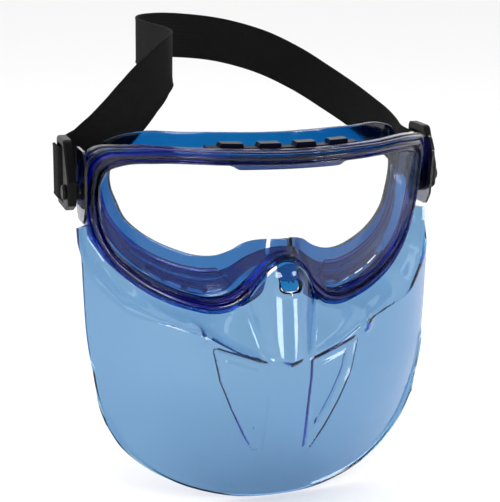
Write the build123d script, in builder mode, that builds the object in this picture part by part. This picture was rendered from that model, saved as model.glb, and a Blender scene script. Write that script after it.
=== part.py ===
"""Safety goggles with a snap-off chin shield and an elastic headband.

Millimetres, +Z up.  The wearer looks along -Y.  X = 0 is the plane of symmetry, Z = 0 is the
height of the lens's middle, and Y = 0 is where the temple ends of the face flange rest.
"""
from build123d import *
from math import asin, degrees, sqrt
import os

# ---------------------------------------------------------------- driving dimensions
LENS_FRONT_Y = -64.0        # front of the rim on the centre line, at brow height
BROW_Z = 33.6               # height at which LENS_FRONT_Y holds
LENS_LEAN = 0.21            # how far the rim leans back for each mm down
RIM_FRONT_RADIUS = 102.0    # wrap of the rim's front
RIM_BACK_RADIUS = 97.0
RIM_DEPTH = 9.0
LENS_DEPTH = 2.5            # lens front behind the rim's front
LENS_THICKNESS = 2.0
LENS_EDGE = 3.0             # how far the lens reaches into the rim
GROOVE_PLAY = 0.3           # gap round the lens's edge
GROOVE_GAP = 0.2            # gap in front of the lens and behind it
WALL_THICKNESS = 2.0
FACE_APEX_Y = -34.0         # rear of the face flange at the forehead
FACE_RADIUS = 100.0
FLANGE_THICKNESS = 2.0
WALL_FRONT_PLANE = -72.0    # planes that hold the side wall's two outlines
WALL_REAR_PLANE = 6.0
SHEAR_LOW = -62.0           # the curved cutting blocks run from here to here in Z
SHEAR_HIGH = 62.0
TEMPLE_Z = 12.0             # above this the flange has no nose bump
REACH = 130.0               # half length of a prism that cuts right through

SHIELD_RADIUS = 108.0
SHIELD_THICKNESS = 1.6
SHIELD_FRONT_Y = -63.5      # shield's front on the centre line
SHIELD_BEND_Z = -65.0       # below this the shield curves back under the chin
SHIELD_LOW_Z = -131.5
SHIELD_RECEDE = 18.5        # how far it has gone back at its lower edge
SHIELD_PLAY = 0.6           # gap between the shield's upper edge and the rim

TONGUE_WIDTH = 9.0
TONGUE_THICKNESS = 2.0
TONGUE_SLOPE = 0.615        # mm forward for each mm down

PIVOT_Y, PIVOT_Z = -9.0, 15.5
PIN_RADIUS = 2.2
PIN_PLAY = 0.05
OUTRIGGER_X = 85.7          # inner face of the smoke-grey temple plate
OUTRIGGER_THICKNESS = 1.2
BUCKLE_X = 89.1             # inner face of the black buckle
BUCKLE_THICKNESS = 4.0
BAND_WIDTH = 25.0
BAND_THICKNESS = 1.5
BAND_Z = 22.5               # height of the webbing's middle in the buckles

# Half outlines seen from the front, from the bottom centre to the top centre: (x, z).
RIM_EDGE = [(0, -13), (6, -15.5), (11.5, -22.5), (17.5, -32.5), (24, -37.2), (31, -38.6),
            (42, -36.8), (54, -32.8), (66, -26), (76, -16.5), (82, -6), (84.8, 6), (85.3, 20),
            (84.6, 30), (80.5, 37), (70, 39.8), (40, 40.8), (0, 40.5)]
LENS_OPENING = [(0, -9), (5, -10.5), (10, -15), (15.5, -22.3), (22.5, -29), (30.5, -31.8),
                (41, -30.2), (52, -26.2), (63, -20), (72, -12), (77, -2), (79, 9), (79, 20),
                (76.5, 27.5), (70, 31.5), (58, 33.6), (30, 34.2), (0, 34)]
WALL_FRONT = [(0, -13), (6.5, -16), (13, -24), (18.5, -33.5), (24.5, -39), (31.5, -41),
              (43.5, -39.5), (56.5, -35.8), (69, -29.5), (80, -20), (86, -8), (88.5, 5.5),
              (88.5, 20), (86.5, 30), (80.5, 35.8), (69.5, 38), (40, 38.8), (0, 38.5)]
WALL_REAR = [(0, -5), (6, -7), (11.5, -12), (17, -17.5), (24, -22), (32, -23.5), (42, -22),
             (53, -18.5), (62.5, -13.5), (70, -6.5), (75.2, 1.5), (77.4, 11), (77.8, 20),
             (76, 28.3), (71.5, 33.3), (62.5, 35.6), (38, 36), (0, 36)]
FACE_EDGE = [(0, -15), (8, -17), (16, -24), (24, -31), (33, -32.5), (46, -29), (58, -23),
             (69, -13), (76, -2), (78.6, 10), (78.8, 22), (77, 32), (72.5, 38), (62, 43),
             (40, 44.5), (0, 44.5)]
FACE_OPENING = [(0, -4.2), (7, -4.6), (14, -7), (20, -10.8), (28, -13.6), (36, -13.6),
                (45, -11.2), (54, -7.5), (61, -3), (66, 2), (69, 9), (71.5, 17), (71, 25),
                (65, 31), (50, 33.8), (0, 34)]
SHIELD_EDGE = [(88.2, -1), (87.6, -30), (86.6, -52), (84.9, -67), (82.4, -81.7),
               (78.2, -93), (71.5, -105), (61.2, -115), (48.3, -122.6), (36, -127), (20, -130.5),
               (0, -131.5)]


def bow(x, radius):
    """How far a cylinder of this radius has curved back at x."""
    return radius - sqrt(radius * radius - x * x)


def lens_front(x, z):
    return LENS_FRONT_Y + LENS_LEAN * (BROW_Z - z) + bow(x, RIM_FRONT_RADIUS)


def both_halves(half):
    """A smooth half outline and its mirror image, drawn as two curves that meet at X = 0."""
    Spline(*half)
    Spline(*[(-x, z) for x, z in half])


def grown(half, amount):
    """A half outline with each point moved outwards by amount, or inwards if it is negative."""
    around = [(-half[1][0], half[1][1])] + half + [(-half[-2][0], half[-2][1])]
    moved = []
    for before, (x, z), after in zip(around, half, around[2:]):
        dx, dz = after[0] - before[0], after[1] - before[1]
        length = sqrt(dx * dx + dz * dz)
        moved.append((x + amount * dz / length, z - amount * dx / length))
    return moved


# ---------------------------------------------------------------- curved cutting blocks
BLOCK_X = 95.0
BLOCK_BACK_Y = 60.0
BLOCK_FRONT_Y = -125.0


def behind_lens_front(depth, radius):
    """All space behind the wrapped, leaning front, set back by depth."""
    apex = LENS_FRONT_Y + LENS_LEAN * (BROW_Z - SHEAR_LOW) + depth
    side = apex + bow(BLOCK_X, radius)
    height = SHEAR_HIGH - SHEAR_LOW
    with BuildPart() as block:
        with BuildSketch(Plane.XY.offset(SHEAR_LOW)):
            with BuildLine():
                ThreePointArc((-BLOCK_X, side), (0, apex), (BLOCK_X, side))
                Polyline((BLOCK_X, side), (BLOCK_X, BLOCK_BACK_Y), (-BLOCK_X, BLOCK_BACK_Y),
                         (-BLOCK_X, side))
            make_face()
        extrude(amount=height * sqrt(1 + LENS_LEAN ** 2), dir=(0, -LENS_LEAN, 1))
    return block.part


NOSE_HALF = 18.0
NOSE_APEX_Y = -43.0


def ahead_of_face(shift):
    """All space in front of the wearer's face, whose nose stands out below the temples."""
    apex = FACE_APEX_Y + shift
    side = apex + bow(BLOCK_X, FACE_RADIUS)
    nose_root = apex + bow(NOSE_HALF, FACE_RADIUS)
    nose_tip = NOSE_APEX_Y + shift
    nose_flank = (nose_root + nose_tip) / 2 - 1
    with BuildPart() as block:
        with BuildSketch(Plane.XY.offset(TEMPLE_Z)):
            with BuildLine():
                ThreePointArc((-BLOCK_X, side), (0, apex), (BLOCK_X, side))
                Polyline((BLOCK_X, side), (BLOCK_X, BLOCK_FRONT_Y), (-BLOCK_X, BLOCK_FRONT_Y),
                         (-BLOCK_X, side))
            make_face()
        extrude(amount=SHEAR_HIGH - TEMPLE_Z)
        with BuildSketch(Plane.XY.offset(SHEAR_LOW)):
            with BuildLine():
                middle = (BLOCK_X + NOSE_HALF) / 2
                middle_y = apex + bow(middle, FACE_RADIUS)
                ThreePointArc((-BLOCK_X, side), (-middle, middle_y), (-NOSE_HALF, nose_root))
                Spline((-NOSE_HALF, nose_root), (-NOSE_HALF / 2, nose_flank), (0, nose_tip),
                       (NOSE_HALF / 2, nose_flank), (NOSE_HALF, nose_root))
                ThreePointArc((NOSE_HALF, nose_root), (middle, middle_y), (BLOCK_X, side))
                Polyline((BLOCK_X, side), (BLOCK_X, BLOCK_FRONT_Y), (-BLOCK_X, BLOCK_FRONT_Y),
                         (-BLOCK_X, side))
            make_face()
        extrude(amount=TEMPLE_Z - SHEAR_LOW)
    return block.part


def prism(half):
    """A half outline and its mirror image, drawn out along Y through the whole goggle."""
    with BuildPart() as block:
        with BuildSketch(Plane.XZ):
            with BuildLine():
                both_halves(half)
            make_face()
        extrude(amount=REACH, both=True)
    return block.part


def tapered(front_half, rear_half):
    """A tube that narrows from its front outline to its rear one."""
    with BuildPart() as block:
        with BuildSketch(Plane.XZ.offset(-WALL_FRONT_PLANE)):
            with BuildLine():
                both_halves(front_half)
            make_face()
        with BuildSketch(Plane.XZ.offset(-WALL_REAR_PLANE)):
            with BuildLine():
                both_halves(rear_half)
            make_face()
        loft()
    return block.part


# ---------------------------------------------------------------- soft frame
def rim_ring():
    with BuildPart() as rim:
        add(prism(RIM_EDGE))
        add(prism(LENS_OPENING), mode=Mode.SUBTRACT)
        add(behind_lens_front(0, RIM_FRONT_RADIUS), mode=Mode.INTERSECT)
        add(behind_lens_front(RIM_DEPTH, RIM_BACK_RADIUS), mode=Mode.SUBTRACT)
    return rim.part


def side_wall():
    """The tube between the rim and the face flange."""
    with BuildPart() as wall:
        add(tapered(WALL_FRONT, WALL_REAR))
        add(tapered(grown(WALL_FRONT, -WALL_THICKNESS), grown(WALL_REAR, -WALL_THICKNESS)),
            mode=Mode.SUBTRACT)
        add(behind_lens_front(RIM_DEPTH - 1, RIM_BACK_RADIUS), mode=Mode.INTERSECT)
        add(ahead_of_face(-FLANGE_THICKNESS / 2), mode=Mode.INTERSECT)
    return wall.part


def face_flange():
    """The soft lip that seals on the face, slit twice over the nose so that it gives."""
    slit_x, slit_width, slit_low, slit_high, slit_depth = 4.6, 1.8, -10.5, -3.0, 20.0
    with BuildPart() as flange:
        add(prism(FACE_EDGE))
        add(prism(FACE_OPENING), mode=Mode.SUBTRACT)
        add(ahead_of_face(0), mode=Mode.INTERSECT)
        add(ahead_of_face(-FLANGE_THICKNESS), mode=Mode.SUBTRACT)
        with Locations((-slit_x, NOSE_APEX_Y, (slit_low + slit_high) / 2),
                       (slit_x, NOSE_APEX_Y, (slit_low + slit_high) / 2)):
            Box(slit_width, slit_depth, slit_high - slit_low, mode=Mode.SUBTRACT)
    return flange.part


WEB_FRONT, WEB_BACK = 2.5, 5.5      # the webs' faces behind the rim's front
LIP_FRONT, LIP_BACK = 5.4, 8.4      # and the brow lip's


def nose_webs():
    """Two small aprons under the rim, one each side of the nose."""
    with BuildPart() as webs:
        with BuildSketch(Plane.XZ):
            with BuildLine():
                Polyline((7.5, -16.5), (8.8, -27), (18, -34.8), (21, -34.5), (9, -17), (7.5, -16.5))
            make_face()
            mirror(about=Plane.YZ)
        extrude(amount=REACH, both=True)
        add(behind_lens_front(WEB_FRONT, RIM_FRONT_RADIUS), mode=Mode.INTERSECT)
        add(behind_lens_front(WEB_BACK, RIM_BACK_RADIUS), mode=Mode.SUBTRACT)
    return webs.part


TONGUE_TOP = (-51.2, -9.5)      # (y, z) of its front line's upper end, inside the rim
TONGUE_TIP_Z = -25.0


def nose_tongue():
    """The tab that holds the shield, running down and forward from the nose arch."""
    top_y, top_z = TONGUE_TOP
    tip_y = top_y - TONGUE_SLOPE * (top_z - TONGUE_TIP_Z)
    with BuildPart() as tongue:
        with BuildSketch(Plane.YZ):
            with BuildLine():
                Polyline((top_y, top_z), (tip_y, TONGUE_TIP_Z),
                         (tip_y + TONGUE_THICKNESS, TONGUE_TIP_Z),
                         (top_y + TONGUE_THICKNESS, top_z), (top_y, top_z))
            make_face()
        extrude(amount=TONGUE_WIDTH / 2, both=True)
    return tongue.part


def brow_lip():
    """The low catch that shows under the top of the rim."""
    with BuildPart() as lip:
        with BuildSketch(Plane.XZ):
            with BuildLine():
                Polyline((-27.5, 36), (27.5, 36), (27.5, 33.4), (24.5, 31.6), (-24.5, 31.6),
                         (-27.5, 33.4), (-27.5, 36))
            make_face()
        extrude(amount=REACH, both=True)
        add(behind_lens_front(LIP_FRONT, RIM_BACK_RADIUS), mode=Mode.INTERSECT)
        add(behind_lens_front(LIP_BACK, RIM_BACK_RADIUS), mode=Mode.SUBTRACT)
    return lip.part


VENT_SLOT_XS = [28, 37, 46, 55]
VENT_SLOT_LENGTH = 6.5
VENT_SLOT_WIDTH = 1.8
VENT_SLOT_SETBACK = 2.4     # slot's middle behind the rim's back
VENT_SLOT_DEPTH = 9.0


def wall_bottom(x):
    """Height of the lower wall's outline under x, halfway between its two ends."""
    def level(half):
        lower = [point for point in half if point[1] < 0]
        for (x1, z1), (x2, z2) in zip(lower, lower[1:]):
            if x1 <= x <= x2:
                return z1 + (z2 - z1) * (x - x1) / (x2 - x1)
        return lower[-1][1]
    return 0.5 * (level(WALL_FRONT) + level(WALL_REAR))


def vent_slot(x):
    """The place of one vent slot, turned along the rim."""
    z = wall_bottom(abs(x))
    y = lens_front(x, z) + RIM_DEPTH + VENT_SLOT_SETBACK
    return Location((x, y, z), (0, 0, degrees(asin(x / RIM_FRONT_RADIUS))))


with BuildPart() as goggle_body:
    add(rim_ring())
    add(side_wall())
    add(face_flange())
    add(nose_webs())
    add(nose_tongue())
    add(brow_lip())
    groove = prism(grown(LENS_OPENING, LENS_EDGE + GROOVE_PLAY))
    groove = groove & behind_lens_front(LENS_DEPTH - GROOVE_GAP, RIM_FRONT_RADIUS)
    groove = groove - behind_lens_front(LENS_DEPTH + LENS_THICKNESS + GROOVE_GAP,
                                        RIM_FRONT_RADIUS)
    add(groove, mode=Mode.SUBTRACT)
    with Locations(Location((-84.5, PIVOT_Y, PIVOT_Z), (0, 90, 0)),
                   Location((84.5, PIVOT_Y, PIVOT_Z), (0, 90, 0))):
        Cylinder(PIN_RADIUS + PIN_PLAY, 3.0, mode=Mode.SUBTRACT)
    with Locations([vent_slot(side * x) for x in VENT_SLOT_XS for side in (-1, 1)]):
        Box(VENT_SLOT_LENGTH, VENT_SLOT_WIDTH, VENT_SLOT_DEPTH, mode=Mode.SUBTRACT)
goggle_body.part.label = "goggle_body"

# ---------------------------------------------------------------- lens
with BuildPart() as lens:
    add(prism(grown(LENS_OPENING, LENS_EDGE)))
    add(behind_lens_front(LENS_DEPTH, RIM_FRONT_RADIUS), mode=Mode.INTERSECT)
    add(behind_lens_front(LENS_DEPTH + LENS_THICKNESS, RIM_FRONT_RADIUS), mode=Mode.SUBTRACT)
lens.part.label = "lens"

# ---------------------------------------------------------------- vent covers
MERLON_XS = [-25.5, -8.5, 8.5, 25.5]
MERLON_WIDTH, MERLON_HEIGHT, MERLON_SLOPE = 11.2, 3.0, 72
COVER_SETBACK = 3.6         # cover's front behind the rim's back
COVER_DEPTH = 6.0
COVER_WIDTH, COVER_Z, COVER_THICKNESS = 72, 39.6, 2.0


def vent_band(near, far):
    """The channel behind the rim, between two depths."""
    with BuildPart() as band:
        add(behind_lens_front(near, RIM_BACK_RADIUS))
        add(behind_lens_front(far, RIM_BACK_RADIUS), mode=Mode.SUBTRACT)
    return band.part


with BuildPart() as top_vent_cover:
    with BuildSketch(Plane.XZ):
        with Locations((0, COVER_Z)):
            Rectangle(COVER_WIDTH, COVER_THICKNESS)
        for x in MERLON_XS:
            with Locations((x, COVER_Z + MERLON_HEIGHT / 2)):
                Trapezoid(MERLON_WIDTH, MERLON_HEIGHT, MERLON_SLOPE)
    extrude(amount=REACH, both=True)
    add(vent_band(RIM_DEPTH + COVER_SETBACK, RIM_DEPTH + COVER_SETBACK + COVER_DEPTH),
        mode=Mode.INTERSECT)
top_vent_cover.part.label = "top_vent_cover"


COVER_OUTER, COVER_INNER = -2.2, -3.6   # the lower covers lie between these inside the rim's edge


def lower_vent_cover(side):
    """A strip that closes the channel under the lower wall, on one side of the nose."""
    with BuildPart() as cover:
        add(prism(grown(RIM_EDGE, COVER_OUTER)))
        add(prism(grown(RIM_EDGE, COVER_INNER)), mode=Mode.SUBTRACT)
        add(behind_lens_front(RIM_DEPTH + 0.3, RIM_BACK_RADIUS), mode=Mode.INTERSECT)
        add(ahead_of_face(-FLANGE_THICKNESS - 0.3), mode=Mode.INTERSECT)
        with Locations((side * 44, -35, -30)):
            Box(42, 60, 34, mode=Mode.INTERSECT)
    return cover.part


with BuildPart() as lower_vent_cover_left:
    add(lower_vent_cover(-1))
lower_vent_cover_left.part.label = "lower_vent_cover_left"
with BuildPart() as lower_vent_cover_right:
    add(lower_vent_cover(1))
lower_vent_cover_right.part.label = "lower_vent_cover_right"

# ---------------------------------------------------------------- chin shield
SEAT_SETBACK = 1.0          # shield's upper edge behind the rim's front
SHOULDER = 6.5              # width of the sloping shoulder along the rim
NOSE_FRONT_Y = -60.0
NOSE_SPREAD = 28.0          # larger is a blunter nose bridge
LIP_Z = -16.0               # above this the nose bridge leans back along the tongue
VALLEY_Z = -59.6            # lowest point of the V that divides nose and chin
VALLEY_STEP = 4.5
TONGUE_SLOT_WIDTH = 13.0
TONGUE_SLOT_HEIGHT = 9.4
TONGUE_SLOT_RADIUS = 3.6
TONGUE_SLOT_Z = -21.3


def smooth(t):
    t = min(1.0, max(0.0, t))
    return t * t * (3 - 2 * t)


def rim_distance(x, z):
    """Distance from a point below the rim to the rim's edge, seen from the front."""
    lower = [point for point in RIM_EDGE if point[1] < 10]
    lower = [(-px, pz) for px, pz in reversed(lower[1:3])] + lower
    best = 1e9
    for (x1, z1), (x2, z2) in zip(lower, lower[1:]):
        length = (x2 - x1) ** 2 + (z2 - z1) ** 2
        t = min(1.0, max(0.0, ((x - x1) * (x2 - x1) + (z - z1) * (z2 - z1)) / length))
        best = min(best, (x - x1 - t * (x2 - x1)) ** 2 + (z - z1 - t * (z2 - z1)) ** 2)
    return sqrt(best)


def valley(x):
    return VALLEY_Z + 0.26 * x + 0.0048 * x * x


def shield_front(x, z):
    """Front of the shield at any place, before it is trimmed."""
    x = abs(x)
    fall = max(0.0, (SHIELD_BEND_Z - z) / (SHIELD_BEND_Z - SHIELD_LOW_Z))
    chin = SHIELD_FRONT_Y + SHIELD_RECEDE * fall ** 1.5 + bow(x, SHIELD_RADIUS)
    near = rim_distance(x, z)
    seat = lens_front(min(x, 84.0), z + near) + SEAT_SETBACK
    shoulder = seat + (chin - seat) * smooth(near / SHOULDER)
    depth = max(0.0, z - valley(x))
    share = near / (near + depth + 0.01)
    apron = seat + (chin + VALLEY_STEP - seat) * share ** 0.8
    nose = NOSE_FRONT_Y + TONGUE_SLOPE * max(0.0, z - LIP_Z) + x * x / NOSE_SPREAD
    blend = 3.0
    mix = smooth(0.5 + 0.5 * (nose - apron) / blend)
    nose_side = nose + (apron - nose) * mix - blend * mix * (1 - mix) * 0.5
    above = smooth((z - valley(x) + 2) / 4)
    inner = chin + (nose_side - chin) * above
    outward = smooth((x - 37) / 9)
    return inner + (shoulder - inner) * outward


SKIN_HALF, SKIN_TOP, SKIN_DROP = 91.0, 4.0, 140.0
SKIN_COLUMNS, SKIN_ROWS = 52, 56


def shield_skin():
    """The shield's front as one smooth surface, larger than its outline all round."""
    xs = [-SKIN_HALF + 2 * SKIN_HALF * i / SKIN_COLUMNS for i in range(SKIN_COLUMNS + 1)]
    zs = [SKIN_TOP - SKIN_DROP * i / SKIN_ROWS for i in range(SKIN_ROWS + 1)]
    grid = [[Vector(x, shield_front(x, z), z) for x in xs] for z in zs]
    return Face.make_surface_from_array_of_points(grid, tol=0.1, smoothing=(1, 1, 1), max_deg=5)


with BuildPart() as face_shield:
    extrude(shield_skin(), amount=SHIELD_THICKNESS, dir=(0, 1, 0))
    with BuildSketch(Plane.XZ):
        with BuildLine():
            Spline(*SHIELD_EDGE, *[(-x, z) for x, z in reversed(SHIELD_EDGE[:-1])])
            Line((-SHIELD_EDGE[0][0], SHIELD_EDGE[0][1]), SHIELD_EDGE[0])
        make_face()
    extrude(amount=REACH, both=True, mode=Mode.INTERSECT)
    add(prism(grown(RIM_EDGE, SHIELD_PLAY)), mode=Mode.SUBTRACT)
    with BuildSketch(Plane.XZ):
        with Locations((0, TONGUE_SLOT_Z)):
            RectangleRounded(TONGUE_SLOT_WIDTH, TONGUE_SLOT_HEIGHT, TONGUE_SLOT_RADIUS)
    extrude(amount=REACH, both=True, mode=Mode.SUBTRACT)
face_shield.part.label = "face_shield"


# ---------------------------------------------------------------- temples
def outrigger(side):
    """The smoke-grey plate that carries the headband's pivot outside the rim."""
    with BuildPart() as plate:
        with BuildSketch(Plane.YZ.offset(side * OUTRIGGER_X)):
            with BuildLine():
                Polyline((-24, 30), (-20, 36), (-4, 36), (-2.8, 30), (-2.8, 8), (-6, 2),
                         (-18, 2), (-22, 8), (-24, 30))
            make_face()
            fillet(vertices(), 2.5)
            with Locations((PIVOT_Y, PIVOT_Z)):
                Circle(PIN_RADIUS + PIN_PLAY, mode=Mode.SUBTRACT)
        extrude(amount=side * OUTRIGGER_THICKNESS)
    return plate.part


PIN_INNER_X = 83.2          # the pin's end inside the rim
PIN_HEAD_RADIUS, PIN_HEAD_THICKNESS, PIN_HEAD_ROUND = 3.6, 1.5, 0.9
SIDE_PLAY = 0.3             # gap beside the buckle along the pin


def pivot_pin(side):
    """A headed pin from outside the buckle into the rim's side."""
    head_x = BUCKLE_X + BUCKLE_THICKNESS + SIDE_PLAY
    with BuildPart() as pin:
        with BuildSketch(Plane.YZ.offset(side * PIN_INNER_X)):
            with Locations((PIVOT_Y, PIVOT_Z)):
                Circle(PIN_RADIUS)
        extrude(amount=side * (head_x - PIN_INNER_X))
        with BuildSketch(Plane.YZ.offset(side * head_x)):
            with Locations((PIVOT_Y, PIVOT_Z)):
                Circle(PIN_HEAD_RADIUS)
        extrude(amount=side * PIN_HEAD_THICKNESS)
        fillet(pin.faces().sort_by(Axis.X)[-1 if side > 0 else 0].edges(), PIN_HEAD_ROUND)
    return pin.part


BUCKLE_HALF_HEIGHT = 16.5
WINDOW_Y, WINDOW_LENGTH, WINDOW_ROUND = 3.25, 11.5, 1.2
BAR_Y, BAR_DEPTH, BAR_LENGTH = 2.25, 2.4, 2.5
BOSS_RADIUS, BOSS_HEIGHT = 4.2, 2.5
CORNER_ROUND, OUTER_CHAMFER = 2.6, 0.7


def buckle(side):
    """A ladder-lock: a boss on the pivot, a frame round the webbing and one bar across it."""
    low_z, high_z = BAND_Z - BUCKLE_HALF_HEIGHT, BAND_Z + BUCKLE_HALF_HEIGHT
    slot_height = BAND_WIDTH + 1.0
    with BuildPart() as lock:
        with BuildSketch(Plane.YZ.offset(side * BUCKLE_X)):
            with BuildLine():
                Polyline((-14.5, 10), (-6, low_z), (12, low_z), (12, high_z), (-5, high_z),
                         (-14.5, 21), (-14.5, 10))
            make_face()
            fillet(vertices(), CORNER_ROUND)
            with Locations((WINDOW_Y, BAND_Z)):
                RectangleRounded(WINDOW_LENGTH, slot_height, WINDOW_ROUND, mode=Mode.SUBTRACT)
        extrude(amount=side * BUCKLE_THICKNESS)
        outer = lock.faces().sort_by(Axis.X)[-1 if side > 0 else 0]
        chamfer(outer.edges(), OUTER_CHAMFER)
        with Locations((side * (BUCKLE_X + BUCKLE_THICKNESS / 2), BAR_Y, BAND_Z)):
            Box(BAR_DEPTH, BAR_LENGTH, slot_height + 2)
        with BuildSketch(Plane.YZ.offset(side * (OUTRIGGER_X + OUTRIGGER_THICKNESS + SIDE_PLAY))):
            with Locations((PIVOT_Y, PIVOT_Z)):
                Circle(BOSS_RADIUS)
        extrude(amount=side * BOSS_HEIGHT)
        with Locations(Location((side * 90, PIVOT_Y, PIVOT_Z), (0, 90, 0))):
            Cylinder(PIN_RADIUS + PIN_PLAY, 12, mode=Mode.SUBTRACT)
    return lock.part


with BuildPart() as left_outrigger:
    add(outrigger(-1))
left_outrigger.part.label = "left_outrigger"
with BuildPart() as right_outrigger:
    add(outrigger(1))
right_outrigger.part.label = "right_outrigger"
with BuildPart() as left_pivot_pin:
    add(pivot_pin(-1))
left_pivot_pin.part.label = "left_pivot_pin"
with BuildPart() as right_pivot_pin:
    add(pivot_pin(1))
right_pivot_pin.part.label = "right_pivot_pin"
with BuildPart() as left_buckle:
    add(buckle(-1))
left_buckle.part.label = "left_buckle"
with BuildPart() as right_buckle:
    add(buckle(1))
right_buckle.part.label = "right_buckle"

# ---------------------------------------------------------------- headband
BAR_X = BUCKLE_X + BUCKLE_THICKNESS / 2
TURN_Y = 2.5
TURN_RADIUS = 3.05
TAIL_TIP_Y = 13.0
TAIL_STEP = 4.0

# Middle of the webbing from the left buckle to the right one: (x, y, z).
BAND_ROUTE = [(-88, 13.5, 22.5), (-86.2, 19, 24.2), (-76.5, 22, 28.5), (-67.5, 22, 35.5), (-58.5, 22, 44.5),
              (-49.5, 23, 54.5), (-40.5, 26, 63.5), (-33, 32, 69.5), (-29, 42, 71), (-28, 55, 71.5),
              (-29, 72, 71.5), (-31, 92, 71.5), (-31.5, 106, 72), (-27, 118, 72.5),
              (-15, 128, 72.5), (3, 137, 71), (27, 141, 67.5), (50, 135, 61), (66, 121, 53),
              (78, 101, 44), (86, 80, 36.5), (90, 62, 31), (92, 47, 27), (91, 32, 24),
              (88.7, 21, 22.7), (88, 13.5, 22.5)]


def buckle_turn(side):
    """From the tail's tip, along the buckle's outside and round its bar to the inside."""
    outer_x = BAR_X + TURN_RADIUS
    points = [Vector(side * outer_x, TAIL_TIP_Y - TAIL_STEP * i, BAND_Z) for i in range(3)]
    for step in range(7):
        turn = Vector(TURN_RADIUS, 0).rotate(Axis.Z, -30 * step)
        points.append(Vector(side * (BAR_X + turn.X), TURN_Y + turn.Y, BAND_Z))
    return points


def band_route():
    left = buckle_turn(-1)
    right = list(reversed(buckle_turn(1)))
    return left + [Vector(*point) for point in BAND_ROUTE] + right


def band_section(points, index):
    """The plane that crosses the webbing at one point of its route."""
    before = points[max(0, index - 1)]
    after = points[min(len(points) - 1, index + 1)]
    along = (after - before).normalized()
    up = Vector(0, 0, 1)
    across = (up - along * up.dot(along)).normalized()
    return Plane(points[index], x_dir=across, z_dir=along)


with BuildPart() as headband:
    route = band_route()
    for number in range(len(route)):
        with BuildSketch(band_section(route, number)):
            Rectangle(BAND_WIDTH, BAND_THICKNESS)
    loft(ruled=True)
headband.part.label = "headband"
band_length = sum((b - a).length for a, b in zip(route, route[1:]))
print("webbing length", round(band_length, 1), "volume share",
      round(headband.part.volume / (band_length * BAND_WIDTH * BAND_THICKNESS), 3))

# ---------------------------------------------------------------- files
os.makedirs("parts", exist_ok=True)
pieces = [goggle_body, lens, top_vent_cover, lower_vent_cover_left, lower_vent_cover_right,
          face_shield, left_outrigger, right_outrigger, left_pivot_pin, right_pivot_pin,
          left_buckle, right_buckle, headband]
for piece in pieces:
    print(piece.part.label, len(piece.part.solids()), round(piece.part.volume))
    export_step(piece.part, f"parts/{piece.part.label}.step")
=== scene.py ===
"""Safety goggles with a snap-off blue chin shield and an elastic headband, in metres."""
import math

import bpy
from mathutils import Matrix, Vector


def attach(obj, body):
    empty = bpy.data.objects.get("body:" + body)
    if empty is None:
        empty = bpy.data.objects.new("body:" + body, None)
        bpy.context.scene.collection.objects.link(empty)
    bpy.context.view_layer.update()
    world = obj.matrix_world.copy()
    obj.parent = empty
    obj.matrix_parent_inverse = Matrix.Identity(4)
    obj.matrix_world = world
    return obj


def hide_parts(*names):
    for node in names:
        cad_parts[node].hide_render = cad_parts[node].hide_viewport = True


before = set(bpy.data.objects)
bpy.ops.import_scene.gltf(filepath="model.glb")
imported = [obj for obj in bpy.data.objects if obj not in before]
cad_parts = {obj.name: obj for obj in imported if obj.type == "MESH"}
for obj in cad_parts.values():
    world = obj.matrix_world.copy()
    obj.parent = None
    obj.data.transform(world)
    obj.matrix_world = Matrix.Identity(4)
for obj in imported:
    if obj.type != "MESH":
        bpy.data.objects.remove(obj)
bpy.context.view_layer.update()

# ---------------------------------------------------------------- soft rim
# The thick front of the frame, moulded in blue-tinted soft PVC: an outer bead, a broad main bead
# and a thin inner lip that grips the lens, with a groove round its outside for the shield's edge.
# It wraps round the face and leans back at the cheeks.
MM = 0.001
FRONT_Y, BROW_Z, LEAN = -64.0, 33.6, 0.21
FRONT_RADIUS, BACK_RADIUS, RIM_DEPTH = 102.0, 97.0, 9.0
RIM_EDGE = [(0, -13), (6, -15.5), (11.5, -22.5), (17.5, -32.5), (24, -37.2), (31, -38.6),
            (42, -36.8), (54, -32.8), (66, -26), (76, -16.5), (82, -6), (84.8, 6), (85.3, 20),
            (84.6, 30), (80.5, 37), (70, 39.8), (40, 40.8), (0, 40.5)]
LENS_OPENING = [(0, -9), (5, -10.5), (10, -15), (15.5, -22.3), (22.5, -29), (30.5, -31.8),
                (41, -30.2), (52, -26.2), (63, -20), (72, -12), (77, -2), (79, 9), (79, 20),
                (76.5, 27.5), (70, 31.5), (58, 33.6), (30, 34.2), (0, 34)]
# (share of the way from the lens to the outer edge, mm behind the front)
RIM_PROFILE = [(0.0, 8.5), (0.0, 5.5), (0.0, 3.0), (0.03, 2.0), (0.11, 1.5), (0.2, 1.9),
               (0.27, 2.3), (0.34, 1.3), (0.44, 0.4), (0.56, 0.1), (0.66, 0.5), (0.73, 1.6),
               (0.79, 2.1), (0.84, 1.3), (0.9, 0.8), (0.97, 1.1), (1.0, 1.9), (0.98, 2.5),
               (0.87, 2.7), (0.85, 3.2), (0.85, 4.9), (0.87, 5.3), (0.99, 5.5), (1.0, 6.2),
               (1.0, 8.2), (0.95, 8.9), (0.5, 9.0), (0.05, 8.9)]


def bow(x, radius):
    return radius - math.sqrt(radius * radius - x * x)


def front_y(x, z):
    return FRONT_Y + LEAN * (BROW_Z - z) + bow(x, FRONT_RADIUS)


def both_sides(half):
    return half + [(-x, z) for x, z in reversed(half[1:-1])]


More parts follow.
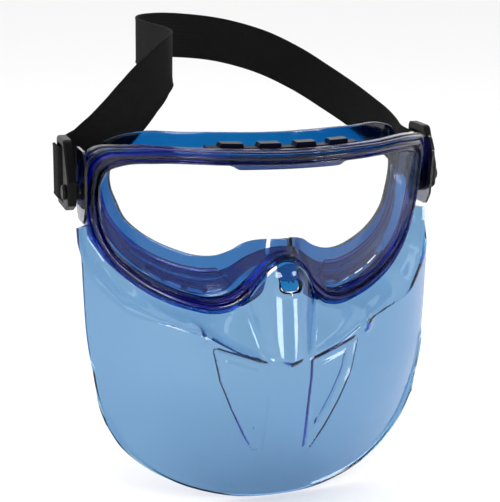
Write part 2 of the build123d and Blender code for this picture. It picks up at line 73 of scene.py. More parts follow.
def curve(points, at, closed=True):
    """The smooth curve through the points, at a place counted in points."""
    count = len(points)
    low = min(int(at), count - 1 if closed else count - 2)
    part = at - low
    p = []
    for k in (low - 1, low, low + 1, low + 2):
        k = k % count if closed else min(count - 1, max(0, k))
        p.append(Vector(points[k]))
    h = [max(1e-6, (p[i + 1] - p[i]).length) for i in range(3)]
    start = ((p[2] - p[1]) / h[1] * h[0] + (p[1] - p[0]) / h[0] * h[1]) / (h[0] + h[1])
    end = ((p[3] - p[2]) / h[2] * h[1] + (p[2] - p[1]) / h[1] * h[2]) / (h[1] + h[2])
    a, b = part * part, part * part * part
    return ((2 * b - 3 * a + 1) * p[1] + (b - 2 * a + part) * h[1] * start
            + (3 * a - 2 * b) * p[2] + (b - a) * h[1] * end)


def grid(name, columns, rows, place):
    """A grid whose vertices are moved to place(u, v), with u and v from 0 to 1."""
    bpy.ops.object.select_all(action="DESELECT")
    bpy.ops.mesh.primitive_grid_add(x_subdivisions=columns, y_subdivisions=rows, size=2)
    piece = bpy.context.object
    piece.name = name
    for vertex in piece.data.vertices:
        spot = place((vertex.co.x + 1) / 2, (vertex.co.y + 1) / 2)
        vertex.co = Vector(spot) * MM
    return piece


def cut_cells(piece, columns, rows, inside):
    """Takes out the cells of a grid whose middle (u, v) is inside."""
    bpy.ops.object.mode_set(mode="EDIT")
    bpy.ops.mesh.select_mode(type="FACE")
    bpy.ops.mesh.select_all(action="DESELECT")
    bpy.ops.object.mode_set(mode="OBJECT")
    for face in piece.data.polygons:
        column, row = face.index % columns, face.index // columns
        face.select = bool(inside((column + 0.5) / columns, (row + 0.5) / rows))
    bpy.ops.object.mode_set(mode="EDIT")
    bpy.ops.mesh.delete(type="FACE")
    bpy.ops.object.mode_set(mode="OBJECT")


def close_up(piece, fill=False):
    """Welds the seam, closes open ends if asked, and turns the normals outwards."""
    bpy.ops.object.mode_set(mode="EDIT")
    bpy.ops.mesh.select_mode(type="VERT")
    bpy.ops.mesh.select_all(action="SELECT")
    bpy.ops.mesh.remove_doubles(threshold=0.00002)
    if fill:
        bpy.ops.mesh.fill_holes(sides=0)
    bpy.ops.mesh.select_all(action="SELECT")
    bpy.ops.mesh.normals_make_consistent(inside=False)
    bpy.ops.object.mode_set(mode="OBJECT")


def modify(piece, kind, **settings):
    modifier = piece.modifiers.new(kind, kind)
    for name, value in settings.items():
        setattr(modifier, name, value)
    bpy.ops.object.modifier_apply(modifier=modifier.name)


def colour(code):
    """Linear colour of an sRGB code such as 1468A8."""
    parts = [int(code[i:i + 2], 16) / 255 for i in (0, 2, 4)]
    return [c / 12.92 if c <= 0.04045 else ((c + 0.055) / 1.055) ** 2.4 for c in parts] + [1.0]


def new_material(name):
    material = bpy.data.materials.new(name)
    material.use_nodes = True
    return material, material.node_tree.nodes["Principled BSDF"]


def add_node(material, kind, links=(), **values):
    """A new node, with values on its sockets and links as (socket, from node, output)."""
    node = material.node_tree.nodes.new(kind)
    for name, value in values.items():
        if hasattr(node, name):
            setattr(node, name, value)
        else:
            node.inputs[name.replace("_", " ")].default_value = value
    for socket, source, output in links:
        material.node_tree.links.new(source.outputs[output], node.inputs[socket])
    return node


def tinted(name, absorbs, density, roughness, ior, grain, lift):
    """Clear plastic with the tint all through it, and a fine moulded grain."""
    material, shader = new_material(name)
    shader.inputs["Base Color"].default_value = (1, 1, 1, 1)
    shader.inputs["Transmission Weight"].default_value = 1.0
    shader.inputs["Roughness"].default_value = roughness
    shader.inputs["IOR"].default_value = ior
    place = add_node(material, "ShaderNodeTexCoord")
    noise = add_node(material, "ShaderNodeTexNoise", [("Vector", place, "Object")],
                     Scale=grain, Detail=2.0)
    bump = add_node(material, "ShaderNodeBump", [("Height", noise, "Fac")],
                    Strength=1.0, Distance=lift)
    material.node_tree.links.new(bump.outputs["Normal"], shader.inputs["Normal"])
    tint = add_node(material, "ShaderNodeVolumeAbsorption", Color=absorbs, Density=density)
    output = material.node_tree.nodes["Material Output"]
    material.node_tree.links.new(tint.outputs["Volume"], output.inputs["Volume"])
    return material


# Soft PVC, tinted deep blue all through, which is navy where it is as thick as the rim.
rim_blue = tinted("navy_soft_pvc", (0.0, 0.59, 0.91, 1.0), 2300.0, 0.07, 1.42, 260.0, 0.00002)

COLUMNS = 408
outer_edge, inner_edge = both_sides(RIM_EDGE), both_sides(LENS_OPENING)


def rim_place(u, v):
    share, depth = curve(RIM_PROFILE, v * len(RIM_PROFILE) % len(RIM_PROFILE))
    at = u * len(outer_edge) % len(outer_edge)
    inner, outer = curve(inner_edge, at), curve(outer_edge, at)
    x, z = inner + (outer - inner) * share
    wrap = bow(x, BACK_RADIUS) - bow(x, FRONT_RADIUS)
    return x, front_y(x, z) + depth + wrap * depth / RIM_DEPTH, z


rim = grid("rim", COLUMNS, 3 * len(RIM_PROFILE), rim_place)
close_up(rim)
bpy.ops.object.shade_smooth()
rim.data.materials.append(rim_blue)
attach(rim, "goggle")
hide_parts("goggle_body")

# ---------------------------------------------------------------- side wall
# The tube of the same soft PVC that runs from the rim back to the face.  Its lower part has a
# raised panel each side, with a row of four vent slots along the rim.
WALL_REAR = [(0, -8), (6, -9.5), (11.5, -13), (17, -17), (24, -20.5), (32, -21.8), (42, -20.5),
             (53, -17), (62, -12), (69, -5.5), (73.8, 2), (76, 11), (76.4, 20), (74.8, 28),
             (70.8, 33), (62, 35.5), (38, 36), (0, 36)]
WALL_SHARE = 0.62           # where the wall leaves the rim, from its inner to its outer edge
FACE_Y, FACE_RADIUS, NOSE_Y, NOSE_HALF = -34.0, 100.0, -43.0, 18.0
WALL = 1.8
PANEL_LIFT = 1.1
VENT_STARTS, VENT_LENGTH = (25.0, 34.0, 43.0, 52.0), 7.0
WALL_ROWS = 30


def smooth(t):
    t = min(1.0, max(0.0, t))
    return t * t * (3 - 2 * t)


def face_y(x, z):
    """The wearer's face at one place, with the nose standing out below the temples."""
    cheek = FACE_Y + bow(x, FACE_RADIUS)
    if abs(x) > NOSE_HALF:
        return cheek
    share = (1 + math.cos(math.pi * x / NOSE_HALF)) / 2
    bridge = cheek + (NOSE_Y - FACE_Y) * share
    return bridge + (cheek - bridge) * smooth((z - 12) / 8)


rear_outline = both_sides(WALL_REAR)


def wall_spot(at, v):
    inner, outer = curve(inner_edge, at), curve(outer_edge, at)
    front, rear = inner + (outer - inner) * WALL_SHARE, curve(rear_outline, at)
    return front, rear, front + (rear - front) * v


def wall_place(u, v):
    at = u * len(rear_outline) % len(rear_outline)
    (x, z), rear, spot = wall_spot(at, v)
    start = front_y(x, z) + RIM_DEPTH - 0.4 + bow(x, BACK_RADIUS) - bow(x, FRONT_RADIUS)
    y = start + (face_y(*rear) - 1.0 - start) * v
    x, z = spot
    ahead = wall_spot((at + 0.05) % len(rear_outline), v)[2]
    way = Vector((ahead.x - x, ahead.y - z)).normalized()
    side = abs(x)
    panel = min(smooth((side - 21) / 1.6), smooth((66 - side) / 1.6))
    panel *= min(smooth((v - 0.14) / 0.05), smooth((0.72 - v) / 0.07))
    lift = PANEL_LIFT * panel if z < 5 else 0.0
    return x - way.y * lift, y, z + way.x * lift


# The same PVC 2 mm thick, where the tint leaves it bright blue.
soft_blue = tinted("soft_blue_pvc", (0.0, 0.60, 0.805, 1.0), 2600.0, 0.10, 1.36, 260.0, 0.00002)
# The wall is mostly seen along its length, so light goes straight through it with little gloss.
wall_blue = tinted("thin_soft_pvc", (0.0, 0.60, 0.805, 1.0), 2700.0, 0.1, 1.36, 260.0, 0.00002)
shader = wall_blue.node_tree.nodes["Principled BSDF"]
clear = add_node(wall_blue, "ShaderNodeBsdfTransparent")
clear.inputs["Color"].default_value = (0.25, 0.60, 0.86, 1)
film = add_node(wall_blue, "ShaderNodeMixShader", [(1, clear, 0), (2, shader, 0)])
film.inputs[0].default_value = 0.75
wall_blue.node_tree.links.new(film.outputs[0],
                              wall_blue.node_tree.nodes["Material Output"].inputs["Surface"])

wall = grid("side_wall", COLUMNS, WALL_ROWS, wall_place)


def vent(u, v):
    x, _, z = wall_place(u, v)
    along = any(start <= abs(x) <= start + VENT_LENGTH for start in VENT_STARTS)
    return along and z < 5 and 0.26 < v < 0.36


cut_cells(wall, COLUMNS, WALL_ROWS, vent)
close_up(wall)
modify(wall, "SOLIDIFY", thickness=WALL * MM, offset=-1.0)
bpy.ops.object.shade_smooth_by_angle(angle=math.radians(40))
wall.data.materials.append(wall_blue)
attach(wall, "goggle")
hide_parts("goggle_body")

# ---------------------------------------------------------------- wall beads
# A round bead of the moulding inside the wall, where it meets the face flange.  It runs from each
# temple down and round to the nose, where it curls forward on to the wall.
BEAD_FROM, BEAD_TO, BEAD_RADIUS = 3.7, 11.6, 1.15      # places counted round the outline
BEAD_ROW, BEAD_CURL, CURL_SHARE = 0.93, 0.55, 0.09
BEAD_RISE, BEAD_TIP, NOSE_TAPER, TEMPLE_TAPER = 0.2, 0.4, 0.08, 0.1


def wall_inside(at, v, rise):
    """A place that stands a little inside the wall, and the way inwards there."""
    count = len(rear_outline)
    spot, ahead = (Vector(wall_place(a % count / count, v)) for a in (at, at + 0.03))
    way = Vector((ahead.x - spot.x, 0, ahead.z - spot.z)).normalized()
    inward = Vector((-way.z, 0, way.x))
    return spot + inward * (WALL + rise), inward


def bead_place(side):
    def place(u, v):
        at = BEAD_FROM + (BEAD_TO - BEAD_FROM) * u
        row = BEAD_ROW - BEAD_CURL * (1 - smooth(u / CURL_SHARE))
        middle, inward = wall_inside(at if side > 0 else len(rear_outline) - at, row, BEAD_RISE)
        full = min(smooth(u / NOSE_TAPER), smooth((1 - u) / TEMPLE_TAPER))
        taper = BEAD_RADIUS * (BEAD_TIP + (1 - BEAD_TIP) * full)
        turn = 2 * math.pi * v
        return middle + taper * (inward * math.cos(turn) + Vector((0, 1, 0)) * math.sin(turn))
    return place


for side, side_name in ((-1, "left"), (1, "right")):
    bead = grid("wall_bead_" + side_name, 150, 12, bead_place(side))
    close_up(bead, fill=True)
    bpy.ops.object.shade_smooth()
    bead.data.materials.append(rim_blue)
    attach(bead, "goggle")
    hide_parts("goggle_body")

# ---------------------------------------------------------------- vent frames
# The moulding thickens to a small raised frame round each vent slot.
FRAME_RADIUS, FRAME_MIDDLE, FRAME_HIGH = 0.65, 0.31, 0.08
FRAME_MARGIN, LONG_SQUARE, SHORT_SQUARE, SIDE_LEAN = 0.3, 1.35, 1.6, 2.0
WALL_FROM, WALL_TO, HALVINGS = 3.5, 9.5, 18      # where the search for a slot's end looks


def frame_place(side, start):
    def place(u, v):
        turn = 2 * math.pi * u
        along = min(1.0, max(-1.0, LONG_SQUARE * math.cos(turn)))
        high = min(1.0, max(-1.0, SHORT_SQUARE * math.sin(turn)))
        want = start + VENT_LENGTH / 2 + (VENT_LENGTH / 2 + FRAME_MARGIN) * along
        low, top = WALL_FROM, WALL_TO
        for _ in range(HALVINGS):
            half = (low + top) / 2
            low, top = (half, top) if wall_spot(half, FRAME_MIDDLE)[2].x < want else (low, half)
        at = low if side > 0 else len(rear_outline) - low
        middle, inward = wall_inside(at, FRAME_MIDDLE + FRAME_HIGH * high, 0.0)
        outward = Vector((math.cos(turn) * side, SIDE_LEAN * math.sin(turn), 0)).normalized()
        wind = 2 * math.pi * v
        return middle + FRAME_RADIUS * (inward * math.cos(wind) + outward * math.sin(wind))
    return place


for side, side_name in ((-1, "left"), (1, "right")):
    for number, start in enumerate(VENT_STARTS, 1):
        ring = grid("vent_frame_%s_%d" % (side_name, number), 48, 8, frame_place(side, start))
        close_up(ring)
        bpy.ops.object.shade_smooth()
        ring.data.materials.append(rim_blue)
        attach(ring, "goggle")
        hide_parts("goggle_body")

# ---------------------------------------------------------------- face flange
# The lip of soft PVC that seals on the face.  It stands out on both sides of the wall, follows
# the nose, and is slit twice over the bridge of the nose so that it gives.
FACE_EDGE = [(0, -15), (8, -17), (16, -24), (24, -31), (33, -32.5), (46, -29), (58, -23),
             (69, -13), (76, -2), (78.6, 10), (78.8, 22), (77, 32), (72.5, 38), (62, 43),
             (40, 44.5), (0, 44.5)]
FACE_OPENING = [(0, -4.2), (7, -4.6), (14, -7), (20, -10.8), (28, -13.6), (36, -13.6),
                (45, -11.2), (54, -7.5), (61, -3), (66, 2), (69, 9), (71.5, 17), (71, 25),
                (65, 31), (50, 33.8), (0, 34)]
FLANGE = 2.0
FLANGE_COLUMNS, FLANGE_ROWS = 360, 14
SLIT_FROM, SLIT_TO, SLIT_DEPTH = 0.56, 0.80, 0.66
face_edge, face_opening = both_sides(FACE_EDGE), both_sides(FACE_OPENING)


def flange_place(u, v):
    at = u * len(face_edge) % len(face_edge)
    inner, outer = curve(face_opening, at), curve(face_edge, at)
    x, z = inner + (outer - inner) * v
    return x, face_y(x, z) - FLANGE / 2, z


def slit(u, v):
    at = u * len(face_edge)
    from_nose = min(at, len(face_edge) - at)
    return SLIT_FROM < from_nose < SLIT_TO and v < SLIT_DEPTH


flange = grid("face_flange", FLANGE_COLUMNS, FLANGE_ROWS, flange_place)
cut_cells(flange, FLANGE_COLUMNS, FLANGE_ROWS, slit)
close_up(flange)
modify(flange, "SOLIDIFY", thickness=FLANGE * MM, offset=0.0)
modify(flange, "BEVEL", width=0.0005, segments=2, limit_method="ANGLE")
bpy.ops.object.shade_smooth_by_angle(angle=math.radians(40))
flange.data.materials.append(soft_blue)
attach(flange, "goggle")
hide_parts("goggle_body")

# ---------------------------------------------------------------- brow lip
# A low catch of the same moulding that shows below the rim, over the middle of the brow.
LIP_HALF = 27.5


def brow_place(u, v):
    x = LIP_HALF * (2 * u - 1)
    low = 31.6 + 1.8 * smooth((abs(x) - 23.5) / 4)
    ring = [(low, 5.6), (low, 7.6), (low + 0.6, 8.4), (36.0, 8.4), (36.0, 5.2), (low + 0.6, 5.2)]
    z, depth = ring[int(round(v * 6)) % 6]
    return x, front_y(x, z) + depth, z


brow = grid("brow_lip", 44, 6, brow_place)
close_up(brow, fill=True)
bpy.ops.object.shade_smooth_by_angle(angle=math.radians(35))
brow.data.materials.append(soft_blue)
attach(brow, "goggle")
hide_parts("goggle_body")

# ---------------------------------------------------------------- nose webs
# Two small aprons of the moulding under the rim, one each side of the nose, which close the gap
# behind the shield's bridge.
WEB_TOP = [(9, -17), (12.5, -23), (17, -31), (21, -34.6)]
WEB_LOW = [(7.5, -16.5), (8.0, -22), (9.2, -28), (18, -34.9)]


def web_place(side):
    def place(u, v):
        top, low = curve(WEB_TOP, u * 3, False), curve(WEB_LOW, u * 3, False)
        x, z = top + (low - top) * v
        return side * x, front_y(x, z) + 4.0, z
    return place


for side, side_name in ((-1, "left"), (1, "right")):
    web = grid("nose_web_" + side_name, 18, 8, web_place(side))
    modify(web, "SOLIDIFY", thickness=2.2 * MM, offset=0.0)
    close_up(web)
    bpy.ops.object.shade_smooth_by_angle(angle=math.radians(35))
    web.data.materials.append(soft_blue)
    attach(web, "goggle")
    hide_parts("goggle_body")

# ---------------------------------------------------------------- nose tongue
# The tab that holds the shield: it runs down and forward from the nose arch, through the slot in
# the shield's bridge.
TONGUE_HALF, TONGUE, TONGUE_SLOPE = 4.5, 2.0, 0.615
TONGUE_TOP_Y, TONGUE_TOP_Z, TONGUE_TIP_Z = -51.2, -9.5, -25.0


def tongue_place(u, v):
    z = TONGUE_TOP_Z + (TONGUE_TIP_Z - TONGUE_TOP_Z) * v
    y = TONGUE_TOP_Y - TONGUE_SLOPE * (TONGUE_TOP_Z - z) + TONGUE / 2
    narrow = 1 - 0.28 * smooth((v - 0.8) / 0.2)
    return (2 * u - 1) * TONGUE_HALF * narrow, y, z


tongue = grid("nose_tongue", 10, 24, tongue_place)
modify(tongue, "SOLIDIFY", thickness=0.0017, offset=0.0)
close_up(tongue)
modify(tongue, "BEVEL", width=0.0004, segments=2, limit_method="ANGLE")
bpy.ops.object.shade_smooth_by_angle(angle=math.radians(35))
tongue.data.materials.append(soft_blue)
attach(tongue, "goggle")
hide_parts("goggle_body")

# ---------------------------------------------------------------- lens
# One clear polycarbonate lens, 2 mm thick, wrapped like the rim and held in its inner lip.
LENS_DEPTH, LENS = 3.2, 2.0
lens_low = [p for p in LENS_OPENING if p[1] < 9] + [(79, 9)]
lens_high = [(79, 20)] + [p for p in LENS_OPENING if p[1] > 20]


def level(points, x):
    """Height of an outline at x."""
    points = sorted(points)
    for (x1, z1), (x2, z2) in zip(points, points[1:]):
        if x1 <= x <= x2:
            return z1 + (z2 - z1) * (x - x1) / (x2 - x1)
    return points[-1][1]


def lens_place(u, v):
    x = 79.3 * math.sin(math.pi * (u - 0.5))
    low, high = level(lens_low, min(79, abs(x))) - 0.5, level(lens_high, min(79, abs(x))) + 0.5
    z = low + (high - low) * v
    return x, front_y(x, z) + LENS_DEPTH, z


clear_lens, shader = new_material("clear_polycarbonate")
# Clear polycarbonate: almost all the light goes straight through, with a thin gloss on top.
clear = add_node(clear_lens, "ShaderNodeBsdfTransparent", Color=(0.97, 0.985, 0.99, 1))
gloss = add_node(clear_lens, "ShaderNodeBsdfGlossy", Roughness=0.02)
facing = add_node(clear_lens, "ShaderNodeLayerWeight", Blend=0.12)
share = add_node(clear_lens, "ShaderNodeMath", [(0, facing, "Facing")], operation="MULTIPLY")
share.inputs[1].default_value = 0.3
film = add_node(clear_lens, "ShaderNodeMixShader", [(0, share, 0), (1, clear, 0), (2, gloss, 0)])
clear_lens.node_tree.links.new(film.outputs[0],
                               clear_lens.node_tree.nodes["Material Output"].inputs["Surface"])
clear_lens.node_tree.nodes.remove(shader)

lens = grid("lens_pane", 96, 16, lens_place)
modify(lens, "SOLIDIFY", thickness=LENS * MM, offset=0.0)
close_up(lens)
bpy.ops.object.shade_smooth_by_angle(angle=math.radians(35))
lens.data.materials.append(clear_lens)
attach(lens, "goggle")
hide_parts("lens")

# ---------------------------------------------------------------- chin shield
# One vacuum-formed sheet of light blue polycarbonate, 1.6 mm thick.  A sloping shoulder runs
# along the rim and ends in a curled rib each side, a V divides the nose bridge from the chin,
# two stepped triangles stiffen the front, and the lower edge is rolled forward.
SHIELD = 1.6
SHIELD_FRONT_Y, SHIELD_RADIUS = -63.5, 108.0
SHIELD_BEND_Z, SHIELD_LOW_Z, SHIELD_RECEDE = -65.0, -131.5, 18.5
SEAT_SETBACK, SHOULDER = 3.0, 7.0
NOSE_FRONT_Y, NOSE_SPREAD, NOSE_LIP_Z, NOSE_RAKE = -59.2, 20.0, -16.0, 0.18
VALLEY_Z, VALLEY_STEP = -59.6, 4.5
TUCK = 0.5
SIDE_SHOULDER, SIDE_FROM, SIDE_OVER = 5.0, 52.0, 20.0      # the shoulder widens at the sides
APRON_POWER, NOSE_BLEND, VALLEY_OVER, CENTRE_HALF, CENTRE_OVER = 0.8, 3.0, 4.0, 37.0, 9.0
RIB_RISE, RIB_HALF, RIB_END, RIB_FADE = 2.1, 4.4, 80.0, 10.0
PANEL_STEP, STEP_OVER, INNER_STEP, INNER_OFF, INNER_OVER = 1.9, 2.1, 0.6, 3.6, 1.2
ROLL_DEPTH, ROLL_WIDTH, COLLAR, COLLAR_WIDTH = 1.8, 4.5, 0.9, 1.8
SHIELD_TALL, SHIELD_HALF, SIDE_PLAIN, PLAIN_FROM, PLAIN_OVER = 112.0, 88.0, 10.0, 0.35, 0.3
SHIELD_SIDE = [(78.2, -93), (82.4, -81.7), (84.9, -67), (86.6, -52), (87.6, -30), (88.2, -1)]
SHIELD_LOW = [(0, -131.5), (20, -130.5), (36, -127), (48.3, -122.6), (61.2, -115), (71.5, -105),
              (78.2, -93)]
SHOULDER_RIB = [(75, -20), (64.4, -29), (54, -35.2), (45.5, -38.6), (41.5, -42),
                (40.3, -46.5)]
TRIANGLE = [(11.7, -58.5), (34.6, -51.1), (31.5, -66), (26, -80), (19.5, -94), (11.7, -107.8),
            (11.0, -84)]
SLOT_Z, SLOT_HALF_X, SLOT_HALF_Z, SLOT_CORNER = -22.5, 5.6, 3.1, 2.8
SHIELD_COLUMNS, SHIELD_ROWS = 270, 168


def line_distance(x, z, points):
    """Distance to a line through the points, seen from the front."""
    best = 1e9
    for (x1, z1), (x2, z2) in zip(points, points[1:]):
        size = (x2 - x1) ** 2 + (z2 - z1) ** 2
        t = min(1.0, max(0.0, ((x - x1) * (x2 - x1) + (z - z1) * (z2 - z1)) / size))
        best = min(best, math.hypot(x - x1 - t * (x2 - x1), z - z1 - t * (z2 - z1)))
    return best


rim_low = [tuple(curve(outer_edge, k / 6)) for k in range(11 * 6 + 1)]
rim_near = [(-6, -15.5)] + [p for p in RIM_EDGE if p[1] < 10]


def valley(x):
    return VALLEY_Z + 0.26 * x + 0.0048 * x * x


def is_within(x, z, ring):
    odd = False
    for (x1, z1), (x2, z2) in zip(ring, ring[1:] + ring[:1]):
        if (z1 > z) != (z2 > z) and x < x1 + (z - z1) * (x2 - x1) / (z2 - z1):
            odd = not odd
    return odd


def shield_front(x, z):
    x = abs(x)
    fall = max(0.0, (SHIELD_BEND_Z - z) / (SHIELD_BEND_Z - SHIELD_LOW_Z))
    chin = SHIELD_FRONT_Y + SHIELD_RECEDE * fall ** 1.5 + bow(x, SHIELD_RADIUS)
    near = line_distance(x, z, rim_near)
    seat = front_y(min(x, 84.0), z + near) + SEAT_SETBACK
    wide = SHOULDER + SIDE_SHOULDER * smooth((x - SIDE_FROM) / SIDE_OVER)
    shoulder = seat + (chin - seat) * smooth(near / wide)
    depth = max(0.0, z - valley(x))
    share = near / (near + depth + 0.01)
    apron = seat + (chin + VALLEY_STEP - seat) * share ** APRON_POWER
    nose = NOSE_FRONT_Y + TONGUE_SLOPE * max(0.0, z - NOSE_LIP_Z) + x * x / NOSE_SPREAD
    nose -= NOSE_RAKE * max(0.0, NOSE_LIP_Z - z)
    mix = smooth(0.5 + 0.5 * (nose - apron) / NOSE_BLEND)
    nose_side = nose + (apron - nose) * mix - NOSE_BLEND * mix * (1 - mix) * 0.5
    inner = chin + (nose_side - chin) * smooth((z - valley(x) + VALLEY_OVER / 2) / VALLEY_OVER)
    return inner + (shoulder - inner) * smooth((x - CENTRE_HALF) / CENTRE_OVER)


def relief(x, z, edge):
    """How far the small features stand forward of the plain sheet."""
    x = abs(x)
    rib = RIB_RISE * (1 - smooth(line_distance(x, z, SHOULDER_RIB) / RIB_HALF))
    rib *= smooth((RIB_END - x) / RIB_FADE)
    off = line_distance(x, z, TRIANGLE + TRIANGLE[:1])
    if not is_within(x, z, TRIANGLE):
        off = -off
    step = PANEL_STEP * smooth(off / STEP_OVER + 0.5)
    inner = INNER_STEP * smooth((off - INNER_OFF) / INNER_OVER + 0.5)
    roll = ROLL_DEPTH * smooth((ROLL_WIDTH - edge) / ROLL_WIDTH)
    collar = COLLAR * (1 - smooth(abs(slot_side(x, z)) / COLLAR_WIDTH))
    return rib - step + inner + roll + collar


def corner(points, share):
    return curve(points, share * (len(points) - 1), False)


def shield_top(x):
    x = min(x, 84.0)
    low = level(rim_low, x)
    slope = (level(rim_low, x + 0.5) - low) / 0.5
    return min(-1.0, low + TUCK * math.sqrt(1 + slope * slope))


def shield_spot(u, v):
    """The outline's own place for each u and v: a patch between its four edges."""
    low, side = corner(SHIELD_LOW, u), corner(SHIELD_SIDE, v)
    top = Vector((88.2 * u, shield_top(88.2 * u)))
    middle = Vector((0, SHIELD_LOW_Z + (shield_top(0) - SHIELD_LOW_Z) * v))
    flat = ((1 - u) * (1 - v) * Vector(SHIELD_LOW[0]) + u * (1 - v) * Vector(SHIELD_LOW[-1])
            + (1 - u) * v * Vector((0, shield_top(0))) + u * v * Vector((88.2, -1)))
    return low * (1 - v) + top * v + middle * (1 - u) + side * u - flat


def slot_side(x, z):
    """Distance outside the tongue slot, less than 0 inside it."""
    dx = abs(x) - SLOT_HALF_X + SLOT_CORNER
    dz = abs(z - SLOT_Z) - SLOT_HALF_Z + SLOT_CORNER
    return math.hypot(max(dx, 0), max(dz, 0)) + min(max(dx, dz), 0) - SLOT_CORNER


def shield_place(u, v):
    sideways = 2 * u - 1
    x, z = shield_spot(abs(sideways), v)
    off = slot_side(x, z)
    if abs(off) < 0.5:
        outward_x = slot_side(x + 0.05, z) - slot_side(x - 0.05, z)
        outward_z = slot_side(x, z + 0.05) - slot_side(x, z - 0.05)
        size = math.hypot(outward_x, outward_z) or 1.0
        x, z = x - off * outward_x / size, z - off * outward_z / size
    x = math.copysign(x, sideways)
    plain = SIDE_PLAIN * smooth((v - PLAIN_FROM) / PLAIN_OVER)
    edge = min(v * SHIELD_TALL, (1 - abs(sideways)) * SHIELD_HALF + plain)
    return x, shield_front(x, z) - relief(x, z, edge), z


shield = grid("chin_shield", SHIELD_COLUMNS, SHIELD_ROWS, shield_place)


def in_slot(u, v):
    x, z = shield_spot(abs(2 * u - 1), v)
    return slot_side(x, z) < 0


cut_cells(shield, SHIELD_COLUMNS, SHIELD_ROWS, in_slot)
modify(shield, "SOLIDIFY", thickness=SHIELD * MM, offset=-1.0)
close_up(shield)
bpy.ops.object.shade_smooth_by_angle(angle=math.radians(50))
# Blue-tinted polycarbonate: light blue through the sheet and deep blue along its edges.
shield_blue = tinted("blue_polycarbonate", (0.0, 0.50, 0.92, 1.0), 420.0, 0.02, 1.42, 30.0, 0.00004)
shield_blue.node_tree.nodes["Principled BSDF"].inputs["Base Color"].default_value = (
    0.325, 0.46, 0.55, 1)
shield.data.materials.append(shield_blue)
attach(shield, "shield")
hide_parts("face_shield")

# ---------------------------------------------------------------- headband
# Black elastic webbing, 25 mm wide and 1.5 mm thick with beaded edges.  It turns round the bar of
# each temple buckle and lies slack, folded over on itself above the brow.
BAND_Z, BAR_X, TURN_Y, TURN_RADIUS, TAIL_TIP_Y = 22.5, 91.1, 2.5, 3.05, 13.0
BAND_ROUTE = [(-88, 13.5, 22.5), (-86.2, 19, 24.2), (-76.5, 22, 28.5), (-67.5, 22, 35.5),
              (-58.5, 22, 44.5), (-49.5, 23, 54.5), (-40.5, 26, 63.5), (-33, 32, 69.5),
              (-29, 42, 71), (-28, 55, 71.5),
              (-29, 72, 71.5), (-31, 92, 71.5), (-31.5, 106, 72), (-27, 118, 72.5),
              (-15, 128, 72.5), (3, 137, 71), (27, 141, 67.5), (50, 135, 61), (66, 121, 53),
              (78, 101, 44), (86, 80, 36.5), (90, 62, 31), (92, 47, 27), (91, 32, 24),
              (88.7, 21, 22.7), (88, 13.5, 22.5)]
# (across, through), in mm, half way round
BAND_PROFILE = [(-12.5, 0), (-12.35, 0.5), (-12.0, 0.74), (-11.5, 0.7), (-11.1, 0.55), (-6, 0.55),
                (0, 0.55), (6, 0.55), (11.1, 0.55), (11.5, 0.7), (12.0, 0.74), (12.35, 0.5),
                (12.5, 0)]
BAND_PROFILE = BAND_PROFILE + [(a, -b) for a, b in reversed(BAND_PROFILE[1:-1])]
BAND_COLUMNS = 330


def buckle_turn(side):
    points = [(side * (BAR_X + TURN_RADIUS), TAIL_TIP_Y - 4 * i, BAND_Z) for i in range(3)]
    for step in range(7):
        turn = math.radians(-30 * step)
        points.append((side * (BAR_X + TURN_RADIUS * math.cos(turn)),
                       TURN_Y + TURN_RADIUS * math.sin(turn), BAND_Z))
    return points


route = buckle_turn(-1) + BAND_ROUTE + buckle_turn(1)[::-1]
reach = [0.0]
for a, b in zip(route, route[1:]):
    reach.append(reach[-1] + (Vector(b) - Vector(a)).length)


def route_at(share):
    """The webbing's middle at a share of its length."""
    want = share * reach[-1]
    k = max(i for i in range(len(route) - 1) if reach[i] <= want + 1e-9)
    part = min(1.0, (want - reach[k]) / (reach[k + 1] - reach[k]))
    return curve(route, k + part, False)


def band_place(u, v):
    middle = route_at(u)
    way = (route_at(min(1, u + 0.002)) - route_at(max(0, u - 0.002))).normalized()
    up = Vector((0, 0, 1))
    across = (up - way * up.dot(way)).normalized()
    a, b = BAND_PROFILE[int(round(v * len(BAND_PROFILE))) % len(BAND_PROFILE)]
    return middle + across * a + way.cross(across) * b


band = grid("webbing", BAND_COLUMNS, len(BAND_PROFILE), band_place)
close_up(band, fill=True)
bpy.ops.object.shade_smooth_by_angle(angle=math.radians(35))
# Woven elastic: ribs along the length every 1.6 mm, crossed by a fine weft every 0.9 mm.
webbing, shader = new_material("black_elastic_webbing")
shader.inputs["Base Color"].default_value = colour("050506")
shader.inputs["Roughness"].default_value = 0.85
shader.inputs["Specular IOR Level"].default_value = 0.12
place = add_node(webbing, "ShaderNodeTexCoord")
split = add_node(webbing, "ShaderNodeSeparateXYZ", [(0, place, "UV")])
weft = add_node(webbing, "ShaderNodeMath", [(0, split, "X")], operation="MULTIPLY")
weft.inputs[1].default_value = 2 * math.pi * 454 / 0.9
warp = add_node(webbing, "ShaderNodeMath", [(0, split, "Y")], operation="MULTIPLY")
warp.inputs[1].default_value = 2 * math.pi * 34
weft_wave = add_node(webbing, "ShaderNodeMath", [(0, weft, 0)], operation="SINE")
warp_wave = add_node(webbing, "ShaderNodeMath", [(0, warp, 0)], operation="SINE")
weave = add_node(webbing, "ShaderNodeMath", [(0, weft_wave, 0), (1, warp_wave, 0)],
                 operation="MULTIPLY")
bump = add_node(webbing, "ShaderNodeBump", [("Height", weave, 0)], Strength=0.6, Distance=0.00025)
webbing.node_tree.links.new(bump.outputs["Normal"], shader.inputs["Normal"])
band.data.materials.append(webbing)
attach(band, "headband")
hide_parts("headband")

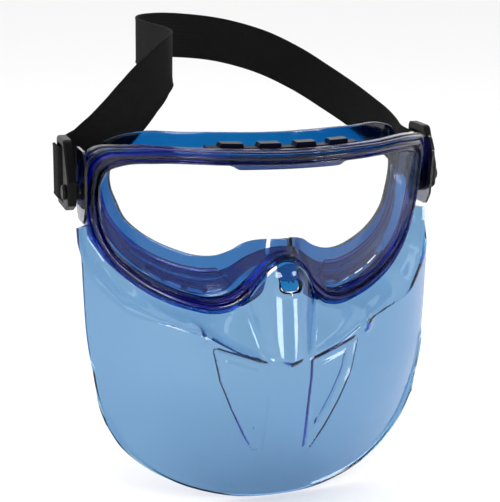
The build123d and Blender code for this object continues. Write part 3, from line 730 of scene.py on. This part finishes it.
# ---------------------------------------------------------------- buckles and pivot pins
# Injection-moulded black nylon ladder-locks, each on a headed pin of the same nylon.
nylon, shader = new_material("moulded_black_nylon")
shader.inputs["Base Color"].default_value = colour("050506")
shader.inputs["Roughness"].default_value = 0.4
shader.inputs["Specular IOR Level"].default_value = 0.1
place = add_node(nylon, "ShaderNodeTexCoord")
noise = add_node(nylon, "ShaderNodeTexNoise", [("Vector", place, "Object")], Scale=1800.0)
bump = add_node(nylon, "ShaderNodeBump", [("Height", noise, "Fac")], Strength=0.5,
                Distance=0.00005)
nylon.node_tree.links.new(bump.outputs["Normal"], shader.inputs["Normal"])


def finish_node(name, material):
    node = bpy.data.objects[name]
    node.data.materials.clear()
    node.data.materials.append(material)


for name in ("left_buckle", "right_buckle", "left_pivot_pin", "right_pivot_pin"):
    finish_node(name, nylon)

# ---------------------------------------------------------------- temple plates
# Thin smoke-grey plates that carry the pins outside the rim.
smoke = tinted("smoke_grey_plate", (0.55, 0.56, 0.60, 1.0), 1900.0, 0.05, 1.49, 60.0, 0.00003)
for name in ("left_outrigger", "right_outrigger"):
    finish_node(name, smoke)

# ---------------------------------------------------------------- vent covers
# A dark castellated strip over the vents above the rim, and two plain strips under the lower wall.
dark, shader = new_material("dark_vent_moulding")
shader.inputs["Base Color"].default_value = colour("04050E")
shader.inputs["Roughness"].default_value = 0.35
shader.inputs["Specular IOR Level"].default_value = 0.15
place = add_node(dark, "ShaderNodeTexCoord")
noise = add_node(dark, "ShaderNodeTexNoise", [("Vector", place, "Object")], Scale=900.0)
bump = add_node(dark, "ShaderNodeBump", [("Height", noise, "Fac")], Strength=0.4,
                Distance=0.00005)
dark.node_tree.links.new(bump.outputs["Normal"], shader.inputs["Normal"])
finish_node("top_vent_cover", dark)
# The lower covers are the same soft blue moulding as the wall above them.
for name in ("lower_vent_cover_left", "lower_vent_cover_right"):
    finish_node(name, wall_blue)

# ---------------------------------------------------------------- studio
# A plain pale floor and soft white light, with two tall soft boxes in front.
bpy.ops.mesh.primitive_plane_add(size=24, location=(0, 6, -0.1325))
floor = bpy.context.object
floor.name = "floor"
paper, shader = new_material("pale_floor")
shader.inputs["Base Color"].default_value = colour("EEEEEE")
shader.inputs["Roughness"].default_value = 0.9
floor.data.materials.append(paper)

world = bpy.context.scene.world or bpy.data.worlds.new("studio")
bpy.context.scene.world = world
world.use_nodes = True
sky_nodes = world.node_tree.nodes
sky = sky_nodes["Background"]
sky.inputs["Color"].default_value = (1, 1, 1, 1)
# The sky is bright behind the object and dim behind the camera, as in a white cove.
direction = sky_nodes.new("ShaderNodeTexCoord")
split = sky_nodes.new("ShaderNodeSeparateXYZ")
bright = sky_nodes.new("ShaderNodeMapRange")
for name, value in (("From Min", -0.6), ("From Max", 0.3), ("To Min", 0.4), ("To Max", 1.48)):
    bright.inputs[name].default_value = value
world.node_tree.links.new(direction.outputs["Generated"], split.inputs[0])
world.node_tree.links.new(split.outputs["Y"], bright.inputs["Value"])
world.node_tree.links.new(bright.outputs[0], sky.inputs["Strength"])


def soft_box(name, spot, aim, width, height, power):
    bpy.ops.object.light_add(type="AREA", location=spot)
    light = bpy.context.object
    light.name = name
    light.data.shape = "RECTANGLE"
    light.data.size, light.data.size_y, light.data.energy = width, height, power
    light.rotation_euler = (Vector(aim) - Vector(spot)).to_track_quat("-Z", "Y").to_euler()


AIM = (0, -0.01, -0.02)
soft_box("box_left", (-0.74, -1.05, 0.20), AIM, 0.45, 0.6, 12)
soft_box("box_right", (0.80, -1.00, 0.20), AIM, 0.45, 0.6, 12)
soft_box("box_top", (0, -0.2, 1.5), AIM, 1.0, 0.7, 5)

# ---------------------------------------------------------------- camera
AZIMUTH, ELEVATION, ROLL = math.radians(-18.46), math.radians(15), math.radians(0.92)
TARGET, DISTANCE = Vector((-0.0015, -0.005, -0.020)), 0.650
back = Vector((math.sin(AZIMUTH) * math.cos(ELEVATION), -math.cos(AZIMUTH) * math.cos(ELEVATION),
               math.sin(ELEVATION)))
right = Vector((math.cos(AZIMUTH), math.sin(AZIMUTH), 0))
above = back.cross(right)
rolled_right = right * math.cos(ROLL) + above * math.sin(ROLL)
rolled_up = above * math.cos(ROLL) - right * math.sin(ROLL)
bpy.ops.object.camera_add(location=TARGET + back * DISTANCE)
camera = bpy.context.object
camera.rotation_euler = Matrix((rolled_right, rolled_up, back)).transposed().to_euler()
camera.data.sensor_width = 36.0
camera.data.lens = 94.6
bpy.context.scene.camera = camera
bpy.context.scene.view_settings.view_transform = "Standard"
